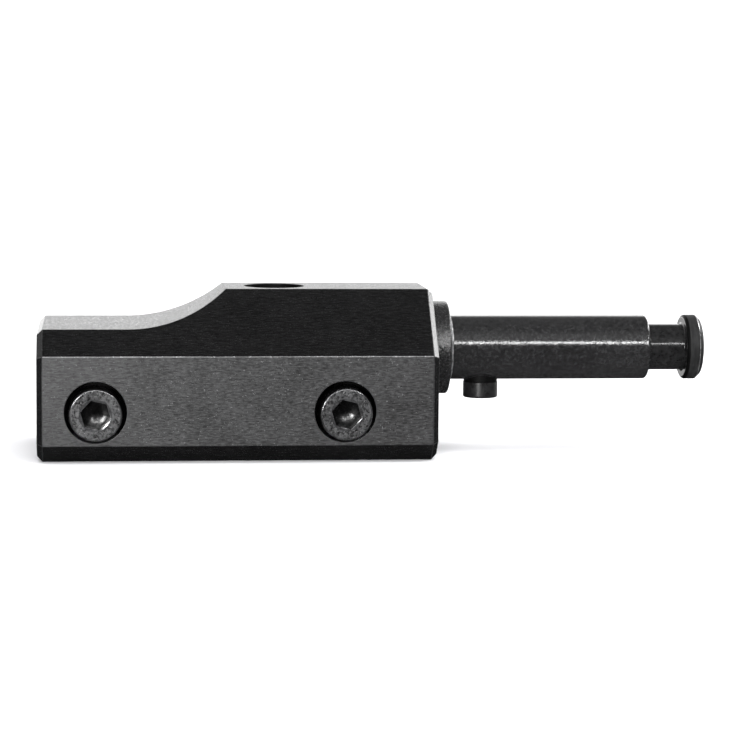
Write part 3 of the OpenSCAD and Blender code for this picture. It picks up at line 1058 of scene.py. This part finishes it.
@dataclass
class JawSpring:
    """Compression spring between the block and the jaw, in millimetres.

    Attributes:
        node: CAD node that it stands for.
        wire_r: Radius of the wire.
        turns: Number of turns.
        facets: Facets in one turn.
        wire_sides: Facets round the wire.
    """

    node: str
    wire_r: float = 0.3
    turns: int = 6
    facets: int = 32
    wire_sides: int = 12

    def build(self, finishes: Finishes) -> bpy.types.Object:
        """Wind the spring, and hang it between the block and the jaw.

        Args:
            finishes: The materials.

        Returns:
            The finished spring.
        """
        low, high = node_box(self.node)
        coil_r = (high.x - low.x) / 2 - self.wire_r
        middle = (low + high) / 2
        Bench.clear()
        bpy.ops.mesh.primitive_circle_add(vertices=self.wire_sides, radius=self.wire_r,
                                          location=(coil_r, 0, 0), rotation=(math.pi / 2, 0, 0))
        spring = Bench.named(self.node + "_steel")
        pitch = (high.y - low.y - 2 * self.wire_r) / self.turns
        Bench.modifier(spring, "SCREW", axis="Z", angle=2 * math.pi, screw_offset=pitch,
                       iterations=self.turns, steps=self.facets, render_steps=self.facets)
        Bench.edit(spring)
        bpy.ops.mesh.select_all(action="SELECT")
        bpy.ops.mesh.fill_holes(sides=self.wire_sides)
        bpy.ops.mesh.remove_doubles(threshold=0.0005)
        bpy.ops.mesh.select_all(action="SELECT")
        bpy.ops.mesh.normals_make_consistent(inside=False)
        Bench.done()
        spring.rotation_euler = Axis.Y.turn
        spring.location = (middle.x, low.y + self.wire_r, middle.z)
        Bench.pick(spring)
        bpy.ops.object.transform_apply(location=True, rotation=True, scale=True)
        finishes.dress(spring, SPRING_WIRE)
        Bench.smooth(spring, 50)
        Bench.pick(spring)
        spring.scale = (MM, MM, MM)
        bpy.ops.object.transform_apply(location=False, rotation=False, scale=True)
        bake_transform(spring)
        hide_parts(self.node)
        LOG.info("%s: stretches between the block and the jaw", spring.name)
        return spring


@dataclass
class Spigot:
    """The turned spigot and its locating pin, in millimetres.

    Attributes:
        finishes: The materials.
        shaft_r: Radius of the shaft.
        neck_r: Radius of the neck.
        button_r: Radius of the button head.
        tail_r: Radius of the tail in the block.
        collar_t: Thickness of the collar.
        shaft_l: Length of the shaft.
        neck_l: Length of the neck.
        flat_h: Height of the flat on the tail.
        flat_run: How far the flat goes on past the lock screw.
        shaft_root: Radius of the fillet between the collar and the shaft.
        button_back: Radius of the rounding at the button's back.
        button_end: Size of the bevel at the button's end.
        pin_edge: Radius of the rounding at the pin's end.
        pin_groove: Depth of the relief where the pin meets the shaft.
    """

    finishes: Finishes
    shaft_r: float = 6.2
    neck_r: float = 4.45
    button_r: float = 6.25
    tail_r: float = 5.0
    collar_t: float = 3.7
    shaft_l: float = 39.0
    neck_l: float = 7.2
    flat_h: float = 22.6
    flat_run: float = 6.2
    shaft_root: float = 0.85
    button_back: float = 0.6
    button_end: float = 0.85
    pin_edge: float = 0.35
    pin_groove: float = 0.12

    def __post_init__(self) -> None:
        """Read the places along X from the CAD frame."""
        low, high = node_box("spigot")
        self.tail_x, self.tip_x = low.x, high.x
        self.axis_h = (low.z + high.z) / 2
        self.collar_r = (high.z - low.z) / 2
        self.face_x = node_box("clamp_block")[1].x
        self.collar_x = self.face_x + self.collar_t
        self.neck_x = self.collar_x + self.shaft_l
        self.button_x = self.neck_x + self.neck_l

    def profile(self) -> list[Pair]:
        """Radius of the spigot along its axis, with its edge breaks and root fillets."""
        soft, collar_edge, shaft_end, neck_root = 0.3, 0.4, 0.55, 0.4
        shaft_root, button_back, button_end = self.shaft_root, self.button_back, self.button_end
        collar_x, neck_x, button_x, tip_x = self.collar_x, self.neck_x, self.button_x, self.tip_x
        shaft_r, neck_r, button_r, collar_r = self.shaft_r, self.neck_r, self.button_r, self.collar_r
        return [
            (self.tail_x, 0), (self.tail_x, self.tail_r - soft), (self.tail_x + soft, self.tail_r),
            (self.face_x, self.tail_r), (self.face_x, collar_r - 0.1), (self.face_x + 0.1, collar_r),
            *arc((collar_x - collar_edge, collar_r - collar_edge), collar_edge, 90, 0, 6),
            *arc((collar_x + shaft_root, shaft_r + shaft_root), shaft_root, 180, 270, 8),
            *arc((neck_x - shaft_end, shaft_r - shaft_end), shaft_end, 90, 0, 8),
            *arc((neck_x + neck_root, neck_r + neck_root), neck_root, 180, 270, 5),
            *arc((button_x - neck_root, neck_r + neck_root), neck_root, 270, 360, 5),
            *arc((button_x + button_back, button_r - button_back), button_back, 180, 90, 5),
            (tip_x - button_end - 0.08, button_r), (tip_x - button_end + 0.08, button_r - 0.1),
            (tip_x - 0.06, button_r - button_end + 0.04), (tip_x, button_r - button_end - 0.06),
            (tip_x, 0),
        ]

    def build_spigot(self) -> bpy.types.Object:
        """Model the spigot.

        Returns:
            The finished spigot.
        """
        spigot = Bench.turned("spigot_steel", self.profile(), (0, 0, self.axis_h), Axis.X, steps=160)
        over = self.tail_r + 1
        flat_end = centre_xz("spigot_lock_screw")[0] + self.flat_run
        Bench.cut(spigot, Bench.box("flat_cutter", (self.tail_x - 1, -over, self.flat_h),
                                    (flat_end, over, self.flat_h + over)))
        self.finishes.dress(spigot, TURNED_BLACK, COLLAR_BLACK, NECK_BLACK, ROOT_HIGHLIGHT_STEEL, RIM_BLACK,
                            BORE_SHADE_BLACK)
        rim_x = self.button_x + self.button_back
        bevel_x = self.tip_x - self.button_end

        def across(at: Vector) -> float:
            """How far a point lies from the spigot's axis."""
            return math.hypot(at.y, at.z - self.axis_h)

        Bench.paint(spigot, 1, lambda at, way: at.x < self.collar_x and
                    across(at) > self.shaft_r + 0.1)
        Bench.paint(spigot, 2, lambda at, way: self.neck_x - 0.01 < at.x < self.button_x + 0.01)
        # Back rounding of the button, facing the neck: near-black painted shade.
        Bench.paint(spigot, 5, lambda at, way: self.button_x + 0.02 < at.x < rim_x)
        Bench.paint(spigot, 4, lambda at, way: at.x > rim_x)
        # Thin facet at the start of the button's end bevel, and the fillet at the shaft's root: painted
        # highlights.
        Bench.paint(spigot, 3, lambda at, way: abs(at.x - bevel_x) < 0.04 and 0.1 < way.x < 0.68)
        Bench.paint(spigot, 3, lambda at, way: 0.02 < at.x - self.collar_x < self.shaft_root - 0.05
                    and across(at) > self.shaft_r + 0.01)
        Bench.smooth(spigot, 28)
        Bench.deliver(spigot, "block", "spigot", "spigot")
        return spigot

    def build_pin(self) -> bpy.types.Object:
        """Model the locating pin.

        Returns:
            The finished pin.
        """
        low, high = node_box("locating_pin")
        radius = (high.x - low.x) / 2
        middle = ((low.x + high.x) / 2, 0, low.z)
        height = high.z - low.z
        rim = self.axis_h - self.shaft_r - 0.4 - low.z
        groove_r = radius - self.pin_groove
        edge = self.pin_edge
        profile = [(0, 0), *arc((edge, radius - edge), edge, 180, 90, 5), (rim - 0.1, radius),
                   (rim, radius - 0.1), (rim + 0.05, groove_r), (height, groove_r), (height, 0)]
        pin = Bench.turned("locating_pin_steel", profile, middle, Axis.Z, steps=96)
        self.finishes.dress(pin, PIN_BLACK, BORE_SHADE_BLACK)
        # Groove at the pin's top, just under the shaft: near-black painted shade.
        Bench.paint(pin, 1, lambda at, way: at.z > low.z + rim - 0.05)
        Bench.smooth(pin, 30)
        Bench.deliver(pin, "block", "locating_pin", "locating_pin")
        return pin


@dataclass
class Studio:
    """Floor, lights, world and camera.

    Attributes:
        lens: Focal length, for a 36 mm sensor.
        distance: Distance of the camera from the point that it looks at, in metres.
        target: The point that it looks at.
        azimuth: Angle of the camera to the left of the block's front, in radians.
        elevation: Angle of the camera above the horizon, in radians.
        roll: Roll of the camera, in radians.
        room: Brightness of the surroundings by the Y component of a direction.
        height: Brightness of the surroundings by its height.
        rear_drop: How far below the horizon the pale wall goes on behind.
        backdrop_r: Radius of the backdrop, in metres.
        backdrop_h: Height of the backdrop, in metres.
    """

    lens: float = 126.8
    distance: float = 0.4972
    target: Point = (0.06267, 0.0, 0.01592)
    azimuth: float = 0.10301
    elevation: float = 0.10796
    roll: float = 0.00874
    room: tuple[Pair, ...] = ((-1.0, 0.55), (-0.2, 0.6), (0.4, 1.1), (1.0, 1.1))
    height: tuple[Pair, ...] = ((-1.0, 0.03), (-0.04, 0.03), (0.02, 1.0), (0.58, 1.0), (0.8, 0.2),
                                (1.0, 0.1))
    rear_drop: float = 0.2
    backdrop_r: float = 4.0
    backdrop_h: float = 6.0

    def build_camera(self) -> None:
        """Place the camera."""
        forward = Vector((math.sin(self.azimuth) * math.cos(self.elevation),
                          math.cos(self.azimuth) * math.cos(self.elevation),
                          -math.sin(self.elevation)))
        camera = bpy.data.cameras.new("camera")
        camera.lens = self.lens
        camera.sensor_width = 36.0
        camera.clip_start = 0.01
        camera.clip_end = 50.0
        holder = bpy.data.objects.new("camera", camera)
        bpy.context.scene.collection.objects.link(holder)
        holder.location = Vector(self.target) - forward * self.distance
        level = forward.to_track_quat("-Z", "Y").to_matrix()
        right, up = level.col[0], level.col[1]
        turned_right = right * math.cos(self.roll) + up * math.sin(self.roll)
        turned_up = up * math.cos(self.roll) - right * math.sin(self.roll)
        turned = Matrix((turned_right, turned_up, -forward)).transposed()
        holder.rotation_euler = turned.to_euler()
        bpy.context.scene.camera = holder

    def build_floor(self) -> None:
        """Lay the pale floor."""
        Bench.clear()
        bpy.ops.mesh.primitive_plane_add(size=60, location=(0, 0, 0))
        floor = Bench.named("studio_floor")
        graph = Graph("pale_floor")
        graph.paint_pale(40.0)
        graph.shader.inputs["Roughness"].default_value = 0.9
        graph.shader.inputs["Specular IOR Level"].default_value = 0.1
        floor.data.materials.append(graph.material)
        floor.visible_glossy = False

    def build_backdrop(self) -> None:
        """Stand a round pale backdrop behind the floor's far edge, seen by the camera only."""
        Bench.clear()
        bpy.ops.mesh.primitive_cylinder_add(vertices=96, radius=self.backdrop_r, depth=self.backdrop_h,
                                            end_fill_type="NOTHING",
                                            location=(0, 0, 0.49 * self.backdrop_h))
        backdrop = Bench.named("studio_backdrop")
        graph = Graph("pale_backdrop")
        graph.paint_pale(0.5)
        graph.shader.inputs["Emission Color"].default_value = (1, 1, 1, 1)
        graph.shader.inputs["Emission Strength"].default_value = 1.1
        backdrop.data.materials.append(graph.material)
        backdrop.visible_glossy = backdrop.visible_diffuse = backdrop.visible_shadow = False

    def build_world(self) -> None:
        """Surroundings: a pale wall behind, a greyer room in front, a dark ceiling and a dark ground."""
        world = bpy.data.worlds.new("studio")
        bpy.context.scene.world = world
        world.use_nodes = True
        tree = world.node_tree
        tree.nodes.clear()
        out = tree.nodes.new("ShaderNodeOutputWorld")
        background = tree.nodes.new("ShaderNodeBackground")
        split = tree.nodes.new("ShaderNodeSeparateXYZ")
        tree.links.new(tree.nodes.new("ShaderNodeTexCoord").outputs["Generated"], split.inputs["Vector"])
        round_room = self.steps(tree, split.outputs["Y"], self.room)
        tilt = tree.nodes.new("ShaderNodeMath")
        tilt.operation = "MULTIPLY_ADD"
        tilt.inputs[1].default_value = self.rear_drop
        tree.links.new(split.outputs["Y"], tilt.inputs[0])
        tree.links.new(split.outputs["Z"], tilt.inputs[2])
        up_room = self.steps(tree, tilt.outputs["Value"], self.height)
        product = tree.nodes.new("ShaderNodeMath")
        product.operation = "MULTIPLY"
        tree.links.new(round_room, product.inputs[0])
        tree.links.new(up_room, product.inputs[1])
        tree.links.new(product.outputs["Value"], background.inputs["Strength"])
        tree.links.new(background.outputs["Background"], out.inputs["Surface"])
        background.inputs["Color"].default_value = (1, 1, 1, 1)

    @staticmethod
    def steps(tree: bpy.types.NodeTree, value: bpy.types.NodeSocket,
              table: Sequence[Pair]) -> bpy.types.NodeSocket:
        """Curve through brightness values along one direction.

        Args:
            tree: The world's node tree.
            value: A direction's component, from -1 to 1.
            table: Component and brightness pairs.

        Returns:
            The brightness.
        """
        curve = tree.nodes.new("ShaderNodeFloatCurve")
        shift = tree.nodes.new("ShaderNodeMapRange")
        shift.inputs["From Min"].default_value = -1.0
        tree.links.new(value, shift.inputs["Value"])
        tree.links.new(shift.outputs["Result"], curve.inputs["Value"])
        points = curve.mapping.curves[0].points
        while len(points) < len(table):
            points.new(0.5, 0.5)
        for point, (component, brightness) in zip(points, table):
            point.location = ((component + 1) / 2, brightness / 2)
            point.handle_type = "VECTOR"
        curve.mapping.update()
        double = tree.nodes.new("ShaderNodeMath")
        double.operation = "MULTIPLY"
        double.inputs[1].default_value = 2.0
        tree.links.new(curve.outputs["Value"], double.inputs[0])
        return double.outputs["Value"]

    def softbox(self, name: str, at: Point, aim: Point, size: Pair, power: float) -> None:
        """Rectangular soft light.

        Args:
            name: Name of the light.
            at: Its place, in metres.
            aim: The point that it shines at.
            size: Width and height, in metres.
            power: Power, in watts.
        """
        light = bpy.data.lights.new(name, "AREA")
        light.shape = "RECTANGLE"
        light.size, light.size_y = size
        light.energy = power
        holder = bpy.data.objects.new(name, light)
        bpy.context.scene.collection.objects.link(holder)
        holder.location = at
        holder.rotation_euler = (Vector(aim) - Vector(at)).to_track_quat("-Z", "Y").to_euler()

    def build_lights(self) -> None:
        """Place the softboxes and the overhead light."""
        softboxes = {
            "camera_side": ((0.08, -0.80, 0.31), (0.62, 0.04), 3.8),
            "left_low": ((-0.14, -0.60, 0.055), (0.1, 0.09), 2.2),
            "right_rear": ((0.75, 0.40, 0.34), (0.22, 0.2), 2.2),
            "right_front": ((0.46, -0.48, 0.46), (0.12, 0.12), 1.2),
            "rear_fill": ((0.1, 0.85, 0.24), (1.2, 0.5), 2.0),
            "right_high": ((0.62, 0.0, 0.58), (0.2, 0.1), 1.6),
        }
        for name, (place, size, power) in softboxes.items():
            self.softbox(name, place, (0.06, 0.0, 0.018), size, power)
        bpy.ops.object.light_add(type="SUN", location=(0, 0, 1))
        overhead = bpy.context.object
        overhead.name = "overhead"
        overhead.data.energy = 2.5
        overhead.data.angle = math.radians(60)
        overhead.visible_glossy = False


def build_small_parts(finishes: Finishes) -> None:
    """Dress the small inner pieces, whose CAD shapes stay.

    Args:
        finishes: The materials.
    """
    table = {
        "lock_washer_left": PHOSPHATED, "lock_washer_right": PHOSPHATED,
        "guide_pin_left": GROUND_BRIGHT, "guide_pin_right": GROUND_BRIGHT,
        "cross_key": MILLED_SHADE_BLACK,
        "key_screw_front": SCREW_BLACK, "key_screw_rear": SCREW_BLACK,
    }
    for node, finish in table.items():
        finishes.dress(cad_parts[node], finish)


def main() -> None:
    """Build the scene in order: stage, block, jaw, screws, spigot and small parts."""
    logging.basicConfig(level=logging.INFO, format="%(message)s")
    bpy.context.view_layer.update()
    studio = Studio()
    studio.build_camera()
    studio.build_floor()
    studio.build_backdrop()
    studio.build_world()
    studio.build_lights()
    bpy.context.scene.view_settings.view_transform = "Standard"

    finishes = Finishes()
    body = ClampBody(finishes)
    body.build_block()
    body.build_jaw()
    for side in ("left", "right"):
        CapScrew.at_node(f"clamp_screw_{side}", f"screw_{side}", Axis.Y, 1, thread_l=19.0,
                         turn=-16.5).build(finishes)
    CapScrew.at_node("spigot_lock_screw", "block", Axis.Z, -1, thread_l=12.0,
                     turn=9.0).build(finishes)
    spigot = Spigot(finishes)
    spigot.build_spigot()
    spigot.build_pin()
    for node in ("jaw_spring_left", "jaw_spring_right"):
        JawSpring(node).build(finishes)
    build_small_parts(finishes)


if __name__ == "__main__":
    main()
